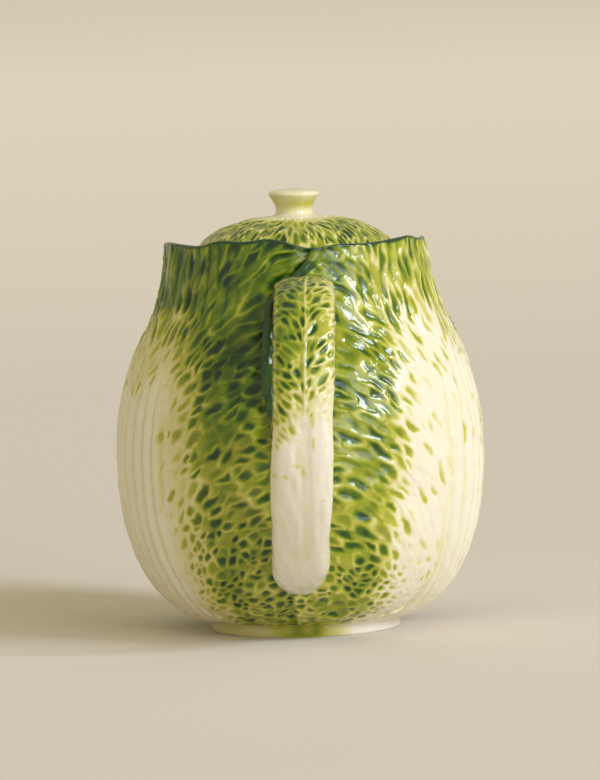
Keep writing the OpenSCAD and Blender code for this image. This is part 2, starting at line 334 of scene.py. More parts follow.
def grid_faces(rows, cols, rows_wrap=False):
    """Faces of a grid of points whose columns close into rings."""
    faces = []
    for j in range(rows if rows_wrap else rows - 1):
        a, b = j * cols, (j + 1) % rows * cols
        for i in range(cols):
            k = (i + 1) % cols
            faces.append((a + i, a + k, b + k, b + i))
    return faces


def shell_faces(rows, cols, step=1, wrap=False, keep=None):
    """Faces of a sheet with an outer and an inner grid of points, the inner one used at every step-th point.

    The two grids coincide along the sheet's rim. keep says which step-by-step cells there are; the edge of a gap in
    them is walled.
    """
    n = rows * cols
    across, up = (cols if wrap else cols - 1) // step, (rows - 1) // step
    keep = np.ones((up, across), bool) if keep is None else keep
    faces = []

    def at(j, i):
        return j * cols + (i % cols if wrap else i)

    for cj, ci in itertools.product(range(up), range(across)):
        if not keep[cj, ci]:
            continue
        j0, i0, j1, i1 = cj * step, ci * step, (cj + 1) * step, (ci + 1) * step
        for j in range(j0, j1):
            for i in range(i0, i1):
                faces.append((at(j, i), at(j, i + 1), at(j + 1, i + 1), at(j + 1, i)))
        inner = []
        for p, q, nj, ni in (((j0, i0), (j1, i0), cj, ci - 1), ((j1, i0), (j1, i1), cj + 1, ci),
                             ((j1, i1), (j0, i1), cj, ci + 1), ((j0, i1), (j0, i0), cj - 1, ci)):
            inner.append(n + at(*p))
            if wrap:
                ni %= across
            line = [at(p[0] + (q[0] - p[0]) * k // step, p[1] + (q[1] - p[1]) * k // step) for k in range(step + 1)]
            if not (0 <= nj < up and 0 <= ni < across):
                inner += line[1:-1]
            elif not keep[nj, ni]:
                faces.append(tuple(line) + (n + at(*q), n + at(*p)))
        faces.append(tuple(inner))
    return faces


def normals_of(grid):
    """Unit normals of a grid of points whose columns close into rings."""
    n = np.cross(np.roll(grid, -1, 1) - np.roll(grid, 1, 1), np.gradient(grid, axis=0))
    return n / np.maximum(np.linalg.norm(n, axis=-1, keepdims=True), 1e-9)


def outward_from(grid):
    """Unit normals that point away from the middles of a tube's rings."""
    outward = normals_of(grid)
    return -outward if np.sum(outward * (grid - grid.mean(axis=1, keepdims=True))) < 0 else outward


# ---- Glazes ----

# From cream through lime to the darkest green, as the pigment goes from 0 to 1
GLAZE_STOPS = (
    (0.00, (0.835, 0.790, 0.710)),
    (0.16, (0.730, 0.670, 0.360)),
    (0.34, (0.490, 0.470, 0.070)),
    (0.52, (0.270, 0.310, 0.014)),
    (0.70, (0.112, 0.185, 0.006)),
    (0.86, (0.030, 0.086, 0.007)),
    (1.00, (0.010, 0.036, 0.014)),
)
COOL = (0.012, 0.050, 0.036, 1)


def feed(socket, value):
    """Gives an input a value, or a link where the value is another node's output."""
    if isinstance(value, bpy.types.NodeSocket):
        socket.id_data.links.new(value, socket)
    else:
        socket.default_value = value


def node(tree, kind, *inputs, **values):
    """A shader node with its first inputs in order, and then its settings and other inputs by name."""
    made = tree.nodes.new("ShaderNode" + kind)
    for key, value in values.items():
        if key in made.inputs:
            feed(made.inputs[key], value)
        else:
            setattr(made, key, value)
    for socket, value in zip(made.inputs, inputs):
        feed(socket, value)
    return made


def ramped(tree, stops, value):
    """The colour that a ramp with these stops gives a value."""
    ramp = node(tree, "ValToRGB", value)
    elements = ramp.color_ramp.elements
    while len(elements) < len(stops):
        elements.new(0.5)
    for element, (position, colour) in zip(elements, stops):
        element.position, element.color = position, (*colour, 1)
    return ramp.outputs["Color"]


def glaze(name, painted=True, roughness=0.13, grain=0.08):
    """Gloss glaze over modelled earthenware. A painted one takes its colour from the mesh's pigment field."""
    material = bpy.data.materials.new(name)
    material.use_nodes = True
    tree = material.node_tree
    tree.nodes.clear()
    place = node(tree, "TexCoord").outputs["Object"]

    def texture(**values):
        return node(tree, "TexNoise", Vector=place, **values).outputs["Fac"]

    def field(name):
        return node(tree, "Attribute", attribute_name=name).outputs["Fac"]

    def ranged(value, low, high, to_low, to_high):
        return node(tree, "MapRange", value, low, high, to_low, to_high).outputs["Result"]

    def multiplied(value, by, plus):
        return node(tree, "Math", value, by, plus, operation="MULTIPLY_ADD").outputs[0]

    drift = texture(Scale=34.0, Detail=2.0)
    if painted:
        # The mottling is strongest where there's most pigment
        pigment = field("pigment")
        mottle = ranged(texture(Scale=190.0, Detail=4.0, Roughness=0.6), 0.25, 0.75, -grain, grain)
        total = multiplied(multiplied(pigment, 1.2, 0.2), mottle, pigment)
        mix = node(tree, "Mix", data_type="RGBA", Factor=field("cool"))
        first, second, mixed = mix.inputs[6], mix.inputs[7], mix.outputs[2]
        feed(first, ramped(tree, GLAZE_STOPS, total))
        feed(second, COOL)
    else:
        mixed = ramped(tree, GLAZE_STOPS, ranged(drift, 0.3, 0.7, 0.0, 0.07))
    bump = node(tree, "Bump", Strength=0.35, Distance=0.00035, Height=texture(Scale=520.0, Detail=2.0))
    shader = node(tree, "BsdfPrincipled", **{
        "Base Color": mixed, "Roughness": ranged(drift, 0.3, 0.7, roughness * 0.7, roughness * 1.5), "IOR": 1.41,
        "Normal": bump.outputs["Normal"], "Coat Weight": 0.28, "Coat Roughness": 0.09, "Coat IOR": 1.5})
    node(tree, "OutputMaterial", Surface=shader.outputs["BSDF"])
    return material


GLAZES = {name: glaze(name, **values) for name, values in (
    ("leaf_glaze", {}), ("stalk_glaze", {}), ("lid_glaze", {}), ("knob_glaze", {"grain": 0.04}),
    ("foot_glaze", {"grain": 0.05, "roughness": 0.2}), ("cream_glaze", {"painted": False}))}
for plain in ("body_shell", "strainer", "lid_flange"):
    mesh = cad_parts[plain].data
    mesh.materials.clear()
    mesh.materials.append(GLAZES["cream_glaze"])


# ---- Leaves ----

class LeafLook(NamedTuple):
    """What sets one leaf apart from the others. Angles are in degrees from its midrib."""
    green_from: float  # where the green starts
    green_over: float  # how many degrees it takes to deepen
    # The next four tones are partly the glaze's own and partly painted light and shade: paler on the lit right leaf,
    # darker on the shaded left one
    lower_by: float  # how much further out it starts low down
    wash: float  # how much darker the solid green is between the pits,
    low_wash_and_shade: float  # near the foot besides,
    high_wash_and_shade: float  # and higher up besides
    pale: float  # how much paler the collar is, partly a painted sheen
    tint: float  # how much a thin wash stains the cream
    pits: float  # the pits' depth, as a share
    stretch: float  # how far the pits are drawn out
    round_below: float  # the height below which they are small and round
    rolled: float  # how far the free edge is rolled up, from 0 to 1
    stalk_half: float  # half the stalk's width
    hem: float  # how dark the line beside the stalk is
    flecked: float  # how many flecks the stalk has higher up


# The right leaf faces the lamps and the left leaf lies on the shaded side, so their tones are partly painted light
# and shade: the right leaf paler low down and in its collar, the left leaf darker low down and higher up
LOOKS = (
    LeafLook(green_from=16, green_over=27, lower_by=4, wash=0.03, low_wash_and_shade=-0.06, high_wash_and_shade=0.07, pale=0.17,
             tint=0.03, pits=0.75, stretch=1.75, round_below=46, rolled=1.0, stalk_half=13, hem=0.06, flecked=1.1),
    LeafLook(green_from=14, green_over=28, lower_by=2, wash=0.05, low_wash_and_shade=0.0, high_wash_and_shade=0.10, pale=0.04,
             tint=0.10, pits=1.0, stretch=1.2, round_below=60, rolled=0.0, stalk_half=15, hem=0.10, flecked=0.5),
    LeafLook(green_from=12, green_over=29, lower_by=0, wash=0.06, low_wash_and_shade=0.07, high_wash_and_shade=0.23, pale=0.0,
             tint=0.15, pits=1.0, stretch=1.25, round_below=60, rolled=0.6, stalk_half=17, hem=0.14, flecked=0.0),
)

# What sets in at a height on the leaves: where it starts, in millimetres, and the stretch that it takes.
# Downwards: pits that lie nearly level, the finer net near the foot, and green that keeps further from the midrib
LEVEL_PITS, LOW_NET, GREEN_OUT = (26, 14), (58, 16), (75, 25)
# Upwards: pits that stand upright beside the midrib, flecks on the stalk, a darker wash that is partly painted shade,
# the paler collar that is partly painted sheen, its pleats
UPRIGHT_PITS, HIGH_FLECKS, DARK_WASH_AND_SHADE, PALE_COLLAR, PLEATS = (116, 18), (66, 20), (75, 30), (96, 30), (122, 16)
# Upwards: where the stalk has narrowed from the foot, and where its ribs and the line beside it die away
STALK_FOOT, RIBS_END, HEM_END = (5, 8), (84, 40), (84, 18)
# Upwards: the free edge's roll, its end, the painted shade of the seam beside it, and relief that grows out of the
# foot's fillet
ROLL_START, ROLL_END, SEAM_SHADE, FOOT_END = (84, 16), (150, 10), (60, 25), (FOOT_H + 0.5, 3.5)
# Upwards: the green that closes over the midrib
TOP_GREEN, TOP_GREEN_OVER = 84, 56

LEAF_PITCH = 0.66
LEAF_STEP = 2
LEAF_TRIES = 20000
# The radius of a leaf's rounded edges, and how far from an edge the closer lines of points are
ROUNDING = 1.25
CLOSE = (0.1, 0.35, 0.75, 1.25)
# The part of the spout's root that the back leaf leaves open
ROOT_SHARE = 0.72
# How the fan of veins leaves the midrib: its steepness there, and the distance over which it levels out
FAN_SLOPE, FAN_OVER = 3.7, 32


def free_edge(leaf, s):
    return MIDRIBS[leaf] - BLADE + EDGE_SWEEP * past(s, 1.72, 0.3) + FOOT_SWEEP * below(s, 1.45, 0.7)


def next_edge(leaf, s):
    return free_edge(leaf + 1, s) if leaf < LEFT else free_edge(RIGHT, s) + 360


def spaced(length, first, last):
    """Places from 0 to length for a leaf's lines of points, with closer ones at each end, in whole steps."""
    n = int(round((length - last[-1] - first[-1]) / LEAF_PITCH))
    n += (-(n + len(first) + len(last))) % LEAF_STEP
    middle = np.linspace(first[-1], length - last[-1], n + 1)
    return np.concatenate([[0], first[:-1], middle, [length - d for d in reversed(last[:-1])], [length]])


def leaf_metric(v):
    """Millimetres in a degree round the pot, at places along its outline."""
    return np.interp(v, CLIMB, PROFILE[:, 0]) * np.pi / 180


def leaf_cells(k, free, after):
    """The net of pits, which leans along the veins: steep by the midrib and upright in the collar beside it."""
    look = LOOKS[k]

    def shape(u, v):
        p = np.abs(u - MIDRIBS[k]) * leaf_metric(v)
        h = np.interp(v, CLIMB, PROFILE[:, 1])
        low = below(h, look.round_below, 20)
        rise = np.degrees(np.arctan(FAN_SLOPE * np.exp(-p / FAN_OVER)))
        rise = blend(rise, 8, below(h, *LEVEL_PITS))
        near = bell(p, 24)
        high = past(h, *UPRIGHT_PITS)
        rise = blend(rise, 84, high * (1 - past(p, 22, 20)))
        long = blend(3.1 * look.stretch, 2.1, low) + 1.6 * near + 1.3 * high
        short = blend(1.5 * look.stretch ** 0.4, 1.4, low) - 0.15 * near
        return np.where(u < MIDRIBS[k], 180 - rise, rise), long, short

    rng = np.random.default_rng(40 + k)
    u_range = (float(free.min()) - 3, float(after.max()) + LAP + 3)
    return Cells(rng, u_range, (-4, FULL_CLIMB + 4), leaf_metric, shape, LEAF_TRIES)


def leaf_relief(k, a, v, z, free, after, around, at):
    """Height of the leaf's relief above its plain face, its pigment and its coolness, at each point."""
    look = LOOKS[k]
    rib = MIDRIBS[k]
    cells = leaf_cells(k, free, after)
    delta = np.abs(a - rib)
    p = delta * around
    wobble = noise(at, 9, 5, (1, 1, 0.45))

    # Where the green is: away from the midrib, all round under the lip, and in flecks beside the stalk
    start = look.green_from + look.lower_by * below(z, *GREEN_OUT)
    side = past(delta + 3.0 * wobble, start, look.green_over)
    top = np.clip((z + 6 * wobble - TOP_GREEN) / TOP_GREEN_OVER, 0, 1) ** 1.6
    flecks = np.maximum(past(delta, look.stalk_half, 3), look.flecked * past(z, *HIGH_FLECKS))
    green = np.maximum(1 - (1 - side) * (1 - top), flecks * 0.21)
    solid = past(green, 0.6, 0.4)
    low = below(z, *LOW_NET)

    # The net of pits, on a sheet that is warped a little so that no cell is regular
    warp_u, warp_v = (1.3 * noise(at, 6.5, seed) + 0.45 * noise(at, 2.2, seed + 1) for seed in (1, 3))
    # Partly painted light and shade: the collar paler on the lit right leaf, the ground darker low down and higher up
    # on the shaded left leaf and paler low down on the right
    pale = look.pale * past(z, *PALE_COLLAR) * (1 - past(delta, 22, 26))
    full = past(green, 0.7, 0.3) * (1 - 0.8 * low)
    high_wash_and_shade = look.high_wash_and_shade * past(z, *DARK_WASH_AND_SHADE)
    pit, chance, pigment, cool = cells.pools(
        a + warp_u / around, v + warp_v, at, green, 16,
        ground=0.49 + (look.wash + high_wash_and_shade) * full + look.low_wash_and_shade * low - pale,
        deep=0.38 + 0.04 * low - 0.5 * high_wash_and_shade, crests=0.14 + 0.04 * low + 0.6 * pale, tint=look.tint)
    depth = (0.45 + 0.65 * chance) * blend(0.3, 1.0, past(green, 0.05, 0.4)) * blend(1.0, 0.9, low)
    relief = -look.pits * pit * depth

    # Long veins that fan out from the midrib, and broad crinkles
    course = v + FAN_SLOPE * FAN_OVER * np.exp(-p / FAN_OVER) + 2.5 * noise(at, 16, 6)
    stripe = 1 - np.abs(((course / 13.0) % 1.0) - 0.5) * 2
    vein = past(stripe, 0.80, 0.2) * past(p, 9, 12) * blend(1, 0.35, low)
    crinkle = 1.05 * noise(at, 13, 7) + 0.5 * noise(at, 6, 8)
    relief += 0.30 * vein + blend(0.15, 1.0, green) * crinkle
    streak = noise(np.stack([course, 0.22 * p, 0 * p], -1), 2.6, 18)
    pigment -= (0.04 * vein + 0.07 * crinkle) * solid
    pigment += (0.13 * noise(at, 16, 11) + 0.09 * streak + 0.05 * noise(at, 3.5, 19)) * solid

    # Pleats where the collar turns up beside each midrib
    pleat = np.abs(np.sin(np.pi * ((a - rib) / 5.2 + 0.35 * noise(at, 12, 17, (1, 1, 0.3))))) ** 0.7
    pleated = past(z, *PLEATS) * (1 - past(delta, 34, 14))
    relief += 0.55 * pleated * (pleat - 0.4)
    pigment += pleated * (0.16 * below(pleat, 0.55, 0.5) - 0.06 * past(pleat, 0.6, 0.4))

    # The pale stalk: broad ribs that run down to the foot, and a soft edge where the blade starts
    edge_at = look.stalk_half + 18 * (1 - past(z, *STALK_FOOT)) + 1.2 * wobble
    stalk = (1 - past(delta, edge_at - 2, 4)) * (1 - past(z, *RIBS_END))
    course = (a - rib) / 5.4 + 0.55 * noise(at, 15, 9, (1, 1, 0.22))
    rib_line = np.abs(np.sin(np.pi * course)) ** 0.6
    fine = noise(at, 2.0, 10, (1, 1, 0.10))
    relief += stalk * (1.9 * rib_line - 0.8 + 0.10 * fine)
    # The rib valleys are painted darker: partly olive glaze left in them, partly painted shade that deepens the ribs'
    # shading
    pigment += stalk * (0.12 * below(rib_line, 0.5, 0.5) + 0.02 * smooth(-fine))
    hem = bell(delta - edge_at - 0.6, 1.1) * (1 - past(z, *HEM_END)) * smooth(0.8 + wobble)
    relief -= 0.45 * hem
    pigment += look.hem * hem * (1 - solid)
    pigment += 0.03 * (1 - green)

    # The dark line along the lip
    to_lip = FULL_CLIMB - v
    line = 1 - past(to_lip, 0.75 + 0.5 * noise(at, 5, 13), 0.6)
    pigment = blend(pigment, 0.95, line)
    cool = blend(cool, 0.25, line)

    # The free edge: a raised and darker roll half-way up, and painted shade in the seam where it lies over the leaf
    # beside it
    from_free = (a - free) * around
    rolled = look.rolled * past(z, *ROLL_START) * (1 - past(z, *ROLL_END))
    relief = blend(relief, 0.9 + 0.4 * relief, bell(from_free - 2.6, 1.9) * rolled)
    edge = (1 - past(from_free, 4.4, 1.8)) * rolled
    pigment = blend(pigment, 0.90, edge * 0.85)
    cool = blend(cool, 0.55, edge * 0.7)
    # Painted shade: a dark line along the free edge where it lies over the leaf beside it
    seam_shade = blend(0.55, 0.72, past(z, *SEAM_SHADE))
    seam_shade_share = (1 - past(from_free, 0.6, 0.8)) * solid * blend(1, look.rolled, seam_shade / 0.72)
    pigment = blend(pigment, np.maximum(pigment, seam_shade), seam_shade_share)

    # The relief dies away under the next leaf, into the rim and into the foot
    relief *= 1 - past(a, after, 3.0)
    relief *= smooth(to_lip / 2.5) * 0.75 + 0.25
    relief = blend(0.2, relief, past(z, *FOOT_END))
    relief += 0.5 * (1 - smooth(to_lip / 5)) * noise(at, 10, 14)
    # The lip turns out a little at each side of the pot, and in at the right leaf's right
    flare = bell(np.abs(wrapped(a)) - 82, 17) * (1 - smooth(to_lip / 9))
    relief += np.where(a > 0, -1.3, 0.4) * flare if k == RIGHT else 0.4 * flare
    return relief, pigment, cool


def leaf(k, name):
    v = spaced(FULL_CLIMB, CLOSE[:3], CLOSE)[:, None]
    s = np.interp(v, CLIMB, SHARES)
    r, z = np.moveaxis(outline(s), -1, 0)
    free, after = free_edge(k, s), next_edge(k, s)
    until = after + LAP - 1
    around = r * np.pi / 180
    widest = np.max((until - free) * np.pi / 180 * r)
    share = spaced(widest, CLOSE, CLOSE) / widest
    a = free + (until - free) * share
    rows, cols = a.shape
    ss = np.broadcast_to(s, a.shape)

    near_free = (a - free) / LAP
    curl = RUFFLE * smooth(s / 0.6) * smooth(1 - near_free)
    outer = 0.55 * LEAF_T * smooth(1 - (after - a) / LAP) - curl - RIB_RISE * bell(a - MIDRIBS[k], 10)
    inner = LEAF_T * (0.5 + 0.5 * smooth(near_free - 1)) - 0.6 * curl

    def place(depth):
        q = inset(ss, depth)
        t = np.radians(a)
        return np.stack([q[..., 0] * np.sin(t), -q[..., 0] * np.cos(t), q[..., 1] + lip_wave(a, q[..., 1])], -1)

    relief, pigment, cool = leaf_relief(k, a, v, z, free, after, around, place(outer))
    outer = outer - relief
    gap = np.minimum(np.minimum(a - free, until - a) * around, np.minimum(FULL_CLIMB - v, v))
    edge = np.sqrt(1 - (1 - np.clip(gap / ROUNDING, 0, 1)) ** 2)
    middle, half = (outer + inner) / 2, (inner - outer) / 2
    points = np.concatenate([place(middle - half * edge).reshape(-1, 3), place(middle + half * edge).reshape(-1, 3)])

    keep = None
    if k == BACK:
        cj, ci = (np.arange(LEAF_STEP // 2, n - 1, LEAF_STEP) for n in (rows, cols))
        x = (r * np.sin(np.radians(a)))[np.ix_(cj, ci)]
        keep = np.hypot(x / SPOUT_W, (z[cj] - ROOT_Z) / SPOUT_H) > ROOT_SHARE
    make_mesh(name, points, shell_faces(rows, cols, LEAF_STEP, keep=keep),
              glaze_fields([pigment, pigment], [cool, cool]), "leaf_glaze")


leaf(RIGHT, "leaf_right_skin")
leaf(BACK, "leaf_back_skin")
leaf(LEFT, "leaf_left_skin")


# ---- Handle ----

def resampled(length, n, *tables):
    """n even places along a line of points whose lengths are given, and what each table holds at them."""
    here = np.linspace(0, length[-1], n)
    return here, *(np.stack([np.interp(here, length, column) for column in table.T], 1) for table in tables)


def along(curves, pitch, extra=0.0):
    """Places and directions about pitch apart along joined curves, carried on straight for an extra length."""
    t = np.linspace(0, 1, 400)
    at = np.concatenate([bezier(c, t) for c in curves])
    way = np.concatenate([bezier_slope(c, t) for c in curves])
    way /= np.linalg.norm(way, axis=1, keepdims=True)
    if extra:
        more = np.linspace(0.1, 1, 30)[:, None] * extra
        at = np.concatenate([at, at[-1] + more * way[-1]])
        way = np.concatenate([way, np.repeat(way[-1:], len(more), 0)])
    length = lengths(at)
    here, at, way = resampled(length, int(length[-1] / pitch), at, way)
    way /= np.linalg.norm(way, axis=1, keepdims=True)
    return at, way, here


def rings(at, way, section):
    """Sections of (x, height) points set square to a curve in the YZ plane."""
    x, h = section[..., 0], section[..., 1]
    return np.stack([x, at[:, None, 0] - way[:, None, 1] * h, at[:, None, 1] + way[:, None, 0] * h], -1)


# The strap's rings: their pitch, the points in each, and the straight length at the tail
STRAP_PITCH, STRAP_POINTS, TAIL = 0.62, 112, 8.5
# The power that squares its section: 1 for an ellipse, towards 0 for a box
SQUARENESS = 0.72
# The height from which the tail narrows to a round end, and the stretch that it takes
TONGUE_Z, TONGUE_LENGTH = 35.5, 16.0
# How far off the middle the midrib runs, and the length at the top root where the pits lie across the strap
STRAP_MIDRIB, STRAP_ROOT = 0.6, 26


def handle():
    rng = np.random.default_rng(61)
    at, way, here = along((ARCH, ARM), STRAP_PITCH, extra=TAIL)

    def oblong(turn, w, h):
        t = np.radians(270 + turn)
        c, n = np.cos(t), np.sin(t)
        return np.stack([w * np.sign(c) * np.abs(c) ** SQUARENESS, h * np.sign(n) * np.abs(n) ** SQUARENESS], -1)

    dense = np.linspace(-180, 180, 3601)
    travel = lengths(oblong(dense, HANDLE_W / 2, HANDLE_T / 2))
    girth = travel[-1]
    u = np.arange(STRAP_POINTS) / STRAP_POINTS * girth
    turn = np.interp(u, travel, dense)
    u = u - girth / 2

    # The strap narrows a little downwards, wanders in width, and ends in a round tongue
    low_face = at[:, 1] - way[:, 0] * HANDLE_T / 2
    drop = np.clip((TONGUE_Z - low_face) / TONGUE_LENGTH, 0, 0.985)
    coming_down = here > here[-1] * 0.55
    half_w = HANDLE_W / 2 * np.where(coming_down, (1 - drop ** 4) ** 0.25, 1)
    half_w = half_w * (1 - 0.035 * below(at[:, 1], 75, 40))
    half_w *= 1 + 0.012 * np.sin(here / 9.0)
    section = oblong(turn, half_w[:, None], np.full((len(here), 1), HANDLE_T / 2))
    grid = rings(at, way, section)
    grid[..., 0] += (grid[..., 2] - LEAN_Z) * math.tan(math.radians(LEAN))
    outward = outward_from(grid)

    height, v = at[:, 1:], here[:, None]
    off_middle = np.abs(u)
    on_front = below(off_middle, HANDLE_W / 2 + 2.5, 3)

    def shape(u, v):
        at_root = v < STRAP_ROOT
        off = np.abs(u - STRAP_MIDRIB)
        tilt = np.where(at_root, 12, blend(72, 36, past(off, 0.6, 4)))
        return (np.where(u < STRAP_MIDRIB, tilt, 180 - tilt), np.where(at_root, 3.4, 2.8),
                np.where(at_root, 1.1, 1.15))

    cells = Cells(rng, (-girth / 2, girth / 2), (0, here[-1]), np.ones_like, shape, 6000, wrap=girth)

    # The net covers the strap's top and thins out down its back, further down on its left side
    wobble = noise(grid, 7, 23)
    root = 1 - past(here, STRAP_ROOT, 22)
    leafy = np.maximum(past(height + 5 * wobble + 0.3 * off_middle - 0.6 * u, 86, 36), root[:, None])
    # The net reaching further down the strap's left side and the ground darkening towards the left are partly the
    # glaze's pattern and partly painted shade on the side away from the lamps, with painted light on the lit right
    pit, chance, pigment, cool = cells.pools(
        u + 0.8 * noise(grid, 5, 21), v + 0.8 * noise(grid, 5, 22), grid, leafy, 33,
        ground=0.40 + 0.14 * past(height, 108, 16) - 0.015 * u, deep=0.48, crests=0.26)
    relief = -0.7 * pit * smooth(leafy / 0.4) * (0.6 + 0.5 * chance) * (0.55 + 0.45 * on_front)
    midrib = bell(u - STRAP_MIDRIB - 0.5 * noise(grid, 14, 24), 0.55) * past(leafy, 0.05, 0.3)
    relief = blend(relief, 0.22, midrib)
    rail = bell(off_middle - HANDLE_W / 2 + 0.2, 1.1)
    relief += 0.45 * rail * (0.6 + 0.5 * noise(grid, 5, 25)) * leafy
    # The cream half: soft wrinkles, and fine lines that follow the tongue's round end
    wrinkle = noise(grid, 2.2, 26, (1, 0.25, 0.16))
    relief += (1 - leafy) * 0.34 * (wrinkle + noise(grid, 6, 27, (1, 0.5, 0.35)))
    relief += 0.35 * noise(grid, 11, 28) + 0.10 * noise(grid, 4, 29)
    from_end = np.hypot(u, np.maximum(0, 48 - height))
    relief += 0.06 * np.sin(from_end * 2.6) * below(height, 44, 10) * past(off_middle, 3, 4) * on_front

    pigment = blend(pigment, 0.14, midrib * 0.8)
    pigment = blend(pigment, 0.12, rail * 0.6)
    freckle = past(noise(grid, 2.2, 30, (1, 1, 0.5)), 0.45, 0.3) * past(height, 55, 30)
    pigment += (0.20 * freckle + 0.05 * smooth(-wrinkle)) * (1 - leafy)
    back = past(off_middle, HANDLE_W / 2 + 3, 3)
    pigment = blend(pigment, 0.5 * pigment + 0.04, back * 0.6)

    relief *= 1 - past(inside_pot(grid), -1, 2)
    grid = grid + outward * relief[..., None]
    grid[..., 1] = np.minimum(grid[..., 1], -root_face(grid))

    rows = len(grid)
    points = np.concatenate([grid.reshape(-1, 3), [grid[0].mean(0), grid[-1].mean(0)]])
    faces = grid_faces(rows, STRAP_POINTS)
    first_end, last_end, last = rows * STRAP_POINTS, rows * STRAP_POINTS + 1, (rows - 1) * STRAP_POINTS
    for i in range(STRAP_POINTS):
        n = (i + 1) % STRAP_POINTS
        faces += [(first_end, n, i), (last_end, last + i, last + n)]
    make_mesh("handle_skin", points, faces, glaze_fields([pigment, [0, 0]], [cool, [0, 0]]), "stalk_glaze")


handle()


# ---- Spout ----

SPOUT_PITCH, SPOUT_POINTS, SPOUT_RIBS = 0.7, 128, 22


def spout():
    rng = np.random.default_rng(71)
    at, way, here = along((SPOUT_LINE,), SPOUT_PITCH)
    full = here[-1]
    t = here / full
    turn = np.arange(SPOUT_POINTS) / SPOUT_POINTS * 2 * np.pi
    swell = (1 - t) ** 1.6
    lip = 0.7 * past(t, 0.93, 0.07)

    def tube(thinner):
        w, h = (SPOUT_TIP + lip + (root - SPOUT_TIP) * swell - thinner for root in (SPOUT_W, SPOUT_H))
        return rings(at, way, np.stack([w[:, None] * np.cos(turn), h[:, None] * np.sin(turn)], -1))

    outside = tube(0)
    bore = tube(SPOUT_WALL + 0.5 * lip)
    outward = outward_from(outside)
    u, v = np.degrees(turn), here[:, None]
    radius = SPOUT_TIP + (0.5 * (SPOUT_W + SPOUT_H) - SPOUT_TIP) * swell

    def metric(v):
        return np.interp(v, here, radius) * np.pi / 180

    def shape(u, v):
        wide = np.interp(v, here, radius)
        return 90 + 16 * np.sin(np.radians(u) * 2), blend(2.6, 3.6, past(wide, 9, 8)), 1.4 + 0 * v

    cells = Cells(rng, (0, 360), (0, full), metric, shape, 7000, wrap=360)
    wobble = noise(outside, 8, 33)
    leafy = past(v + 9 * wobble, 0.42 * full, 0.42 * full)
    pit, chance, pigment, cool = cells.pools(
        u + 0.8 * noise(outside, 5, 31) / metric(v), v + 0.8 * noise(outside, 5, 32), outside, leafy, 37,
        ground=0.42, crests=0.10)
    relief = -0.65 * pit * smooth(leafy / 0.4) * (0.6 + 0.5 * chance)
    waver = 0.9 * noise(outside, 14, 34, (1, 0.3, 0.3))
    line = 1 - np.abs(np.sin(turn * SPOUT_RIBS / 2 + waver)) ** 0.8
    relief += (1 - leafy) * (0.62 * line - 0.2) + 0.3 * noise(outside, 11, 35) + 0.1 * noise(outside, 4, 36)
    pigment += 0.06 * (1 - leafy) * smooth(0.35 - line)
    end = 1 - past(full - v, 1.2 + 0.4 * wobble, 0.9)
    pigment = blend(pigment, 0.90, end)
    cool = blend(cool, 0.5, end)

    inside = inside_pot(outside)
    relief *= smooth((full - v) / 3) * (1 - past(inside, -1, 2))
    # The clay is drawn out a little where the spout is luted to the leaf
    fillet = 2.2 * np.exp(-np.maximum(-inside, 0) / 1.6)
    outside = outside + outward * (relief + fillet)[..., None]
    for grid in (outside, bore):
        grid[..., 1] = np.maximum(grid[..., 1], root_face(grid))

    # The lip is rounded over from the outer face to the bore
    rounds = np.radians(np.linspace(0, 180, 9)[1:-1])
    middle, half = (outside[-1] + bore[-1]) / 2, (outside[-1] - bore[-1]) / 2
    forward = np.array([0, way[-1, 0], way[-1, 1]]) * SPOUT_WALL / 2
    cap = np.stack([middle + half * math.cos(w) + forward * math.sin(w) for w in rounds])
    bore = bore[::-2]
    bore_pigment = np.full(bore.shape[:2], 0.06)
    bore_pigment[:2] = 0.5
    fields = glaze_fields([pigment, np.full(cap.shape[:2], 0.85), bore_pigment],
                          [cool, np.full(cap.shape[:2], 0.4), 0 * bore_pigment])
    grid = np.concatenate([outside, cap, bore])
    make_mesh("spout_skin", grid.reshape(-1, 3), grid_faces(len(grid), SPOUT_POINTS, rows_wrap=True), fields,
              "stalk_glaze")


spout()


# ---- Lid ----

def turned(profile, angles):
    """A grid of points from a profile of (radius, height) turned through angles."""
    t = np.radians(angles)
    r, z = profile[:, :1], profile[:, 1:]
    return np.stack([r * np.sin(t), -r * np.cos(t), z + 0 * t], -1)


LID_RINGS, LID_POINTS = 93, 300
# The height of the lid's edge, and the radius inside which the rings of its two faces are matched
LID_EDGE, MATCHED_R = 1.8, 27.0
# How far from the vent the grid is drawn about to make room for it, sideways and below the crown
VENT_REACH, VENT_DEPTH = 7.0, 16
# The lid has no pits nearer to the knob than this
BARE_R = 9.5


def lid_profiles():
    """The dome's outer and inner face, each as points (radius, height) from its edge to its middle."""
    edge_z, inner_crown = LID_Z + LID_EDGE, CROWN_Z - DOME_WALL
    t = np.linspace(0, 1, 600)
    curve = bezier(((LID_R, edge_z), (LID_R - 3, edge_z + 3), (LID_R - 5, CROWN_Z + 0.3), (0, CROWN_Z + 0.3)), t)
    curve[:, 1] = np.minimum(curve[:, 1], CROWN_Z)
    _, outside = resampled(lengths(curve), LID_RINGS, curve)
    hollow = bezier(((HOLLOW_R, LID_Z), (HOLLOW_R - 1, inner_crown - 4), (HOLLOW_R - 12, inner_crown),
                     (0, inner_crown)), t)
    first = int(np.argmax(outside[:, 0] < MATCHED_R))
    edge = [(LID_R, edge_z), (LID_R, LID_Z + 0.8), (LID_R - 0.25, LID_Z + 0.25), (LID_R - 0.8, LID_Z)]
    under = np.concatenate([edge, hollow[hollow[:, 0] > outside[first, 0]]])
    _, inside = resampled(lengths(under), first, under)
    rest = outside[first:, 0]
    return outside, np.concatenate([inside, np.stack([rest, np.interp(-rest, -hollow[:, 0], hollow[:, 1])], 1)])


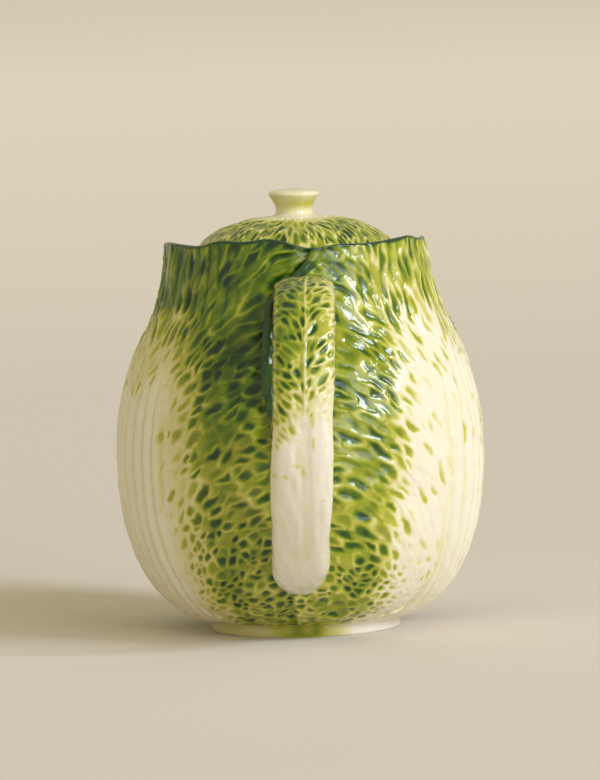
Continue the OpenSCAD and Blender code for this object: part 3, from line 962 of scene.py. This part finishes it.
def open_vent(outer, inner, row, col, radius):
    """Draws both grids about so that the squares round one point become a round hole."""
    for grid in (outer, inner):
        away = np.hypot(grid[..., 0], grid[..., 1] - radius)
        pull = 1 - smooth(away / VENT_REACH)
        grid[..., 1] += (VENT_Y - radius) * pull * (inner[..., 2] > CROWN_Z - VENT_DEPTH)
    hub = outer[row, col, :2].copy()
    for grid in (outer, inner):
        d = grid[..., :2] - hub
        away = np.linalg.norm(d, axis=-1)
        near = (away < VENT_REACH) & (grid[..., 2] > CROWN_Z - VENT_DEPTH)
        far = VENT_R + away * (VENT_REACH - VENT_R) / VENT_REACH - 0.35 * (1 - away / VENT_REACH)
        far[row - 1:row + 2, col - 1:col + 2] = VENT_R
        scale = np.where(near & (away > 1e-6), far / np.maximum(away, 1e-6), 1)
        grid[..., :2] = hub + d * scale[..., None]


def lid():
    rng = np.random.default_rng(81)
    outside, inside = lid_profiles()
    angles = np.arange(LID_POINTS) * 360 / LID_POINTS
    outer, inner = turned(outside, angles), turned(inside, angles)
    r = outside[:, 0]
    row, col = int(np.argmin(np.abs(r - VENT_Y))), LID_POINTS // 2
    open_vent(outer, inner, row, col, r[row])

    climb = lengths(outside)
    u, v = angles, climb[:, None]

    def metric(v):
        return np.interp(v, climb, np.maximum(r, 4)) * np.pi / 180

    def shape(u, v):
        return 90 + 14 * np.sin(np.radians(u) * 5), 4.0 + 0 * v, 1.0 - 0.08 * past(v, 20, 20)

    cells = Cells(rng, (0, 360), (-3, climb[-1]), metric, shape, 9000, wrap=360)
    rr = np.hypot(outer[..., 0], outer[..., 1])
    leafy = past(rr + 3 * noise(outer, 7, 43), 9, 16)
    pit, chance, pigment, cool = cells.pools(
        u + 0.7 * noise(outer, 5, 41) / metric(v), v + 0.7 * noise(outer, 5, 42), outer, leafy, 47, ground=0.51,
        deep=0.62, crests=0.34)
    # Pits round a bare middle, and faint spokes
    relief = -0.65 * pit * past(rr, BARE_R, 5) * (0.55 + 0.5 * chance) + 0.28 * noise(outer, 9, 44) * leafy
    stripe = np.abs(np.sin(np.radians(u) * 14 + 1.3 * noise(outer, 15, 45)))
    spoke = below(stripe, 0.28, 0.25) * past(rr, 12, 6)
    relief += 0.3 * spoke
    at_vent = np.hypot(outer[..., 0], outer[..., 1] - VENT_Y)
    relief *= past(at_vent, VENT_R, 1.6) * smooth(v / 1.5)
    pigment += 0.08 * below(np.abs(rr - 14), 12, 6) * (1 - leafy) - 0.06 * spoke + 0.05 * noise(outer, 12, 46)
    outward = normals_of(outer)
    outward = np.where(outward[..., 2:] < 0, -outward, outward)
    outer = outer + outward * relief[..., None]

    keep = np.ones((LID_RINGS - 1, LID_POINTS), bool)
    keep[row - 1:row + 1, col - 1:col + 1] = False
    points = np.concatenate([outer.reshape(-1, 3), inner.reshape(-1, 3)])
    make_mesh("lid_dome_skin", points, shell_faces(LID_RINGS, LID_POINTS, wrap=True, keep=keep),
              glaze_fields([pigment, 0.05 + 0 * pigment], [cool, 0 * cool]), "lid_glaze", "lid")


lid()


# ---- Knob and foot ring ----

LATHE_POINTS = 160


def lathed(name, profile, closed, slot, body, lumps, paint):
    """A turned piece whose face wanders a little, as a hand-finished casting's does."""
    angles = np.arange(LATHE_POINTS) * 360 / LATHE_POINTS
    grid = turned(np.asarray(profile, float), angles)
    lump = lumps * noise(grid, 9, 51) + 0.4 * lumps * noise(grid, 3.5, 52)
    r = np.maximum(np.hypot(grid[..., 0], grid[..., 1]), 1e-6)
    grid[..., :2] *= (1 + lump * smooth(r / 5) / r)[..., None]
    pigment = paint(grid, angles)
    faces = grid_faces(len(profile), LATHE_POINTS, rows_wrap=closed)
    make_mesh(name, grid.reshape(-1, 3), faces, glaze_fields([pigment], [0 * pigment]), slot, body)


def knob_profile():
    t = np.linspace(0, 1, 22)
    cap_z = KNOB_TOP - 3.0
    stem = bezier(((KNOB_R - 0.6, CROWN_Z), (NECK_R - 0.9, CROWN_Z + 0.6), (NECK_R + 0.3, CROWN_Z + 4.4),
                   (KNOB_R, cap_z)), t)
    cap = bezier(((KNOB_R, cap_z), (KNOB_R + 0.9, cap_z + 1.5), (KNOB_R - 0.1, KNOB_TOP + 0.1),
                  (0, KNOB_TOP - 0.1)), t)
    bottom = [(r, CROWN_Z - 0.5) for r in (0, KNOB_R * 0.5, KNOB_R - 0.1)] + [(KNOB_R - 0.1, CROWN_Z - 0.1)]
    return np.concatenate([bottom, stem, cap[1:]])


def knob_paint(grid, _):
    band = bell(grid[..., 2] - CROWN_Z - 5.2, 2.3)
    return 0.11 + 0.22 * band * smooth(0.75 + 0.6 * noise(grid, 8, 53)) + 0.03 * noise(grid, 4, 54)


def foot_profile():
    inner = FOOT_R - FOOT_W
    corners = [(inner - 2, FOOT_H), (inner - 1, 1), (inner - 0.75, 0.35), (inner, 0), (inner + 1.1, 0),
               (FOOT_R - 1.1, 0), (FOOT_R, 0), (FOOT_R + 0.5, 0.3), (FOOT_R + 0.75, 0.9),
               (FOOT_R + 0.65, FOOT_H - 1.4), (FOOT_R + 1.1, FOOT_H - 0.5), (FOOT_R + 2.5, FOOT_H + 0.5)]
    fine = [corners[0]]
    for p, q in zip(corners, corners[1:]):
        n = max(1, int(math.dist(p, q) / 0.8))
        fine += [(blend(p[0], q[0], k / n), blend(p[1], q[1], k / n)) for k in range(1, n + 1)]
    return fine


def foot_paint(grid, angles):
    """Green between the stalks, painted shade in yellow-brown on the front left, away from the lamps, and a worn pale
    edge.
    """
    delta = np.min([np.abs(wrapped(angles - rib)) for rib in MIDRIBS], axis=0)
    height = grid[..., 2]
    green = past(delta + 9 * noise(grid, 6, 55), 30, 40) * blend(1, 0.75, past(height, 1.5, 3))
    worn = 1 - past(height, 0.1, 0.4)
    # Painted shade: a yellow-brown tint on the front left, the side of the foot away from the lamps
    thin = 0.02 + 0.20 * smooth(np.cos(np.radians(angles - 318)) * 2 - 1)
    return blend(thin, 0.62 + 0.16 * noise(grid, 4, 56), green) * (1 - 0.8 * worn) + 0.03 * worn


lathed("lid_knob_skin", knob_profile(), False, "knob_glaze", "lid", 0.12, knob_paint)
lathed("foot_ring_skin", foot_profile(), True, "foot_glaze", "pot", 0.0, foot_paint)


# ---- Floor, light and camera, in metres ----

FLOOR = (0.71, 0.655, 0.585)
FLOOR_HALF = 60.0
# Painted light on the floor: its tone at distances from the pot, raised near the pot where its shadow falls and in a
# broad band some metres off, lower far away
FLOOR_PAINTED_LIGHT = ((0.0, 1.06), (0.15, 1.02), (0.4, 0.98), (1.2, 1.01), (6.4, 1.24), (31.0, 1.0), (80.0, 0.92))
AIR, AIR_STRENGTH = (1.0, 0.91, 0.64, 1), 0.58


def studio():
    material = bpy.data.materials.new("studio_floor")
    material.use_nodes = True
    tree = material.node_tree
    shader = tree.nodes["Principled BSDF"]
    shader.inputs["Roughness"].default_value = 0.9
    shader.inputs["Specular IOR Level"].default_value = 0.0
    # The ramp is read at distance / (distance + 1), which fits the whole floor between 0 and 1
    away = node(tree, "VectorMath", node(tree, "TexCoord").outputs["Object"], operation="LENGTH").outputs["Value"]
    more = node(tree, "Math", away, 1.0, operation="ADD").outputs[0]
    share = node(tree, "Math", away, more, operation="DIVIDE").outputs[0]
    # Painted light: the floor's colour follows these tones with distance from the pot
    stops = [(metres / (metres + 1), [tone * part for part in FLOOR]) for metres, tone in FLOOR_PAINTED_LIGHT]
    feed(shader.inputs["Base Color"], ramped(tree, stops, share))
    mesh = bpy.data.meshes.new("studio_floor")
    corners = [(x * FLOOR_HALF, y * FLOOR_HALF, 0) for x, y in ((-1, -1), (1, -1), (1, 1), (-1, 1))]
    mesh.from_pydata(corners, [], [(0, 1, 2, 3)])
    mesh.materials.append(material)
    floor = add("studio_floor", mesh)

    world = bpy.data.worlds.new("studio_air")
    world.use_nodes = True
    air = world.node_tree.nodes["Background"].inputs
    air["Color"].default_value, air["Strength"].default_value = AIR, AIR_STRENGTH
    bpy.context.scene.world = world


# The middle of the pot, which the lights face
POT_MIDDLE = Vector((0, 0, 0.09))


def lamp(name, kind, azimuth, elevation, distance, colour, **values):
    """A light that faces the middle of the pot, from an azimuth measured from -Y towards +X."""
    data = bpy.data.lights.new(name, kind)
    data.color = colour
    for key, value in values.items():
        setattr(data, key, value)
    light = add(name, data)
    a, e = math.radians(azimuth), math.radians(elevation)
    away = Vector((math.sin(a) * math.cos(e), -math.cos(a) * math.cos(e), math.sin(e)))
    light.location = POT_MIDDLE + away * distance
    light.rotation_mode = "QUATERNION"
    light.rotation_quaternion = away.to_track_quat("Z", "Y")


studio()
lamp("key", "SUN", azimuth=61, elevation=31, distance=3.0, colour=(0.88, 0.94, 1.12), energy=1.72,
     angle=math.radians(20))
lamp("softbox", "AREA", azimuth=38, elevation=16, distance=3.4, colour=(0.92, 0.95, 1.02), energy=39.0,
     shape="RECTANGLE", size=2.2, size_y=1.7)

# The camera looks down at the pot by PITCH, and is rolled a little
AIM, CAMERA_DISTANCE = Vector((0.0003, 0, 0.0974)), 2.66
PITCH, ROLL = math.radians(4.76), math.radians(-1.64)
camera_data = bpy.data.cameras.new("camera")
camera_data.lens = 300.0
camera_data.sensor_width = 36.0
camera_data.clip_end = 200.0
camera = add("camera", camera_data)
camera.location = AIM + Vector((0, -math.cos(PITCH), math.sin(PITCH))) * CAMERA_DISTANCE
look = Matrix.Rotation(math.pi / 2 - PITCH, 4, "X") @ Matrix.Rotation(ROLL, 4, "Z")
camera.rotation_mode = "QUATERNION"
camera.rotation_quaternion = look.to_quaternion()
bpy.context.scene.camera = camera
bpy.context.scene.view_settings.view_transform = "Standard"
